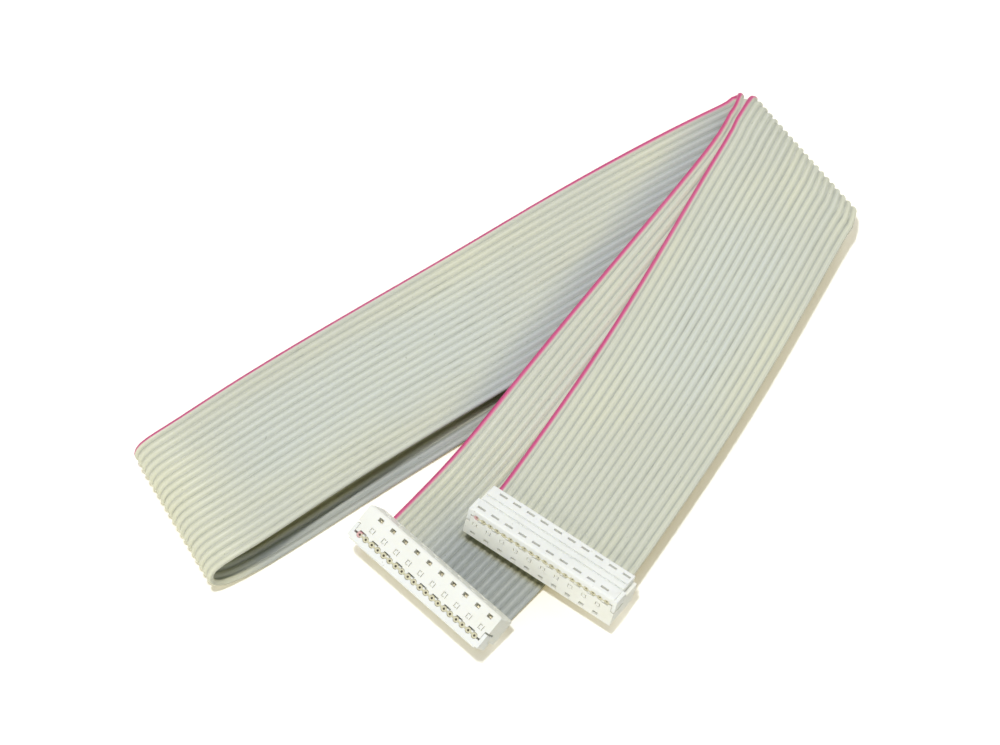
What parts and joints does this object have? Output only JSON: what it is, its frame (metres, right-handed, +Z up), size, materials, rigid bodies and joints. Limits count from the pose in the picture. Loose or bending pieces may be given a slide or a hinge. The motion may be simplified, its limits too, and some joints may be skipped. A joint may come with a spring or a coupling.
{
  "type": "ribbon cable",
  "caption": "Flat grey ribbon cable with a pink edge wire and a small cream insulation-displacement socket on each end, lying loosely folded.",
  "frame": {"origin": "on the table under the middle of the folded cable's bounding box", "axes": "+Z up from the table; +X along the longest extent of the lay, towards the two folds; +Y away from the connectors"},
  "size_m": [0.1141, 0.0984, 0.0103],
  "materials": {
    "pvc_grey": "light warm grey flexible PVC, satin; the first wire is magenta pink",
    "tinned_copper": "stranded tinned copper, dull at the cut",
    "housing_plastic": "cream moulded plastic, satin",
    "cover_plastic": "near-white moulded plastic, satin",
    "contact_metal": "tin-plated copper alloy, satin"
  },
  "bodies": {
    "root": {"ribbon": "pvc_grey", "ribbon_end_a": "pvc_grey", "ribbon_end_b": "pvc_grey", "conductors_a": "tinned_copper", "conductors_b": "tinned_copper", "housing_a": "housing_plastic", "housing_b": "housing_plastic", "cover_a": "cover_plastic", "cover_b": "cover_plastic", "contact_a_01": "contact_metal", "contact_a_02": "contact_metal", "contact_a_03": "contact_metal", "contact_a_04": "contact_metal", "contact_a_05": "contact_metal", "contact_a_06": "contact_metal", "contact_a_07": "contact_metal", "contact_a_08": "contact_metal", "contact_a_09": "contact_metal", "contact_a_10": "contact_metal", "contact_a_11": "contact_metal", "contact_a_12": "contact_metal", "contact_a_13": "contact_metal", "contact_a_14": "contact_metal", "contact_a_15": "contact_metal", "contact_a_16": "contact_metal", "contact_a_17": "contact_metal", "contact_a_18": "contact_metal", "contact_a_19": "contact_metal", "contact_a_20": "contact_metal", "contact_b_01": "contact_metal", "contact_b_02": "contact_metal", "contact_b_03": "contact_metal", "contact_b_04": "contact_metal", "contact_b_05": "contact_metal", "contact_b_06": "contact_metal", "contact_b_07": "contact_metal", "contact_b_08": "contact_metal", "contact_b_09": "contact_metal", "contact_b_10": "contact_metal", "contact_b_11": "contact_metal", "contact_b_12": "contact_metal", "contact_b_13": "contact_metal", "contact_b_14": "contact_metal", "contact_b_15": "contact_metal", "contact_b_16": "contact_metal", "contact_b_17": "contact_metal", "contact_b_18": "contact_metal", "contact_b_19": "contact_metal", "contact_b_20": "contact_metal"}
  },
  "joints": []
}
